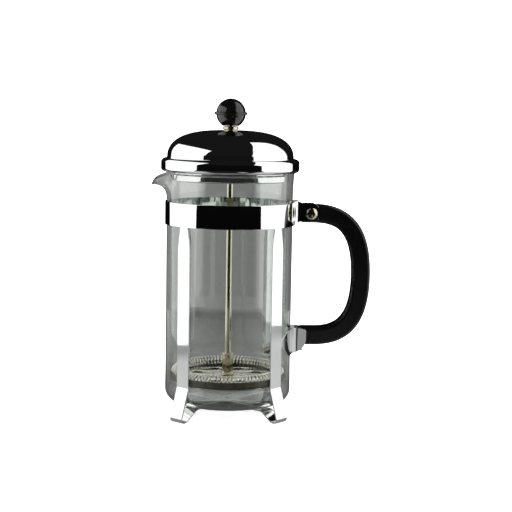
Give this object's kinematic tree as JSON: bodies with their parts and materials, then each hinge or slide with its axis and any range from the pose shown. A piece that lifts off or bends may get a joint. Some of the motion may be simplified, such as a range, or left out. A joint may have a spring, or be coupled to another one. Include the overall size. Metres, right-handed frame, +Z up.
{
  "type": "french press",
  "caption": "Plunger coffee maker: glass beaker in a chromed strap frame with a loop handle, a domed lid that lifts off, and a ball-knob rod with a coil-edged filter.",
  "frame": {"origin": "middle of the footprint of the whole object, on the surface its feet stand on; the beaker's axis is at x = -24.6 mm", "axes": "+Z up, +X toward the handle (the spout points along -X), +Y toward the back as the object is usually pictured"},
  "size_m": [0.1724, 0.1072, 0.2455],
  "materials": {
    "glass": "clear, polished",
    "chrome": "mirror",
    "warm_nickel": "polished, pale warm nickel over brass",
    "rod_steel": "polished",
    "gloss_black": "gloss",
    "satin_black": "satin",
    "filter_steel": "bright stamped",
    "filter_mesh": "fine woven"
  },
  "bodies": {
    "frame": {"beaker": "glass", "frame_band": "chrome", "leg_strap_upper": "chrome", "leg_strap_lower": "chrome", "cross_rivet": "chrome", "lower_bracket": "chrome", "handle": "satin_black", "clamp_screw": "warm_nickel", "clamp_nut": "warm_nickel"},
    "lid_bushing": {"lid_bushing": "warm_nickel", "lid_bushing_nut": "warm_nickel"},
    "lid": {"lid_dome": "chrome", "lid_inner_cup": "chrome"},
    "rod": {"rod": "rod_steel"},
    "knob_and_filter": {"knob": "gloss_black", "filter_hub": "warm_nickel", "spiral_plate": "filter_steel", "coil_spring": "filter_steel", "mesh_screen": "filter_mesh", "cross_plate": "filter_steel", "filter_nut": "warm_nickel"}
  },
  "joints": [
    {"name": "lid_lift", "type": "slide", "parent": "frame", "child": "lid_bushing", "axis": [0, 0, 1], "range_m": [0, 0.2]},
    {"name": "lid_turn", "type": "hinge", "parent": "lid_bushing", "child": "lid", "pos_m": [-0.0246, 0, 0.2], "axis": [0, 0, 1], "continuous": true},
    {"name": "plunge", "type": "slide", "parent": "lid_bushing", "child": "rod", "axis": [0, 0, 1], "range_m": [0, 0.135]},
    {"name": "plunger_turn", "type": "hinge", "parent": "rod", "child": "knob_and_filter", "pos_m": [-0.0246, 0, 0.1], "axis": [0, 0, 1], "continuous": true}
  ]
}
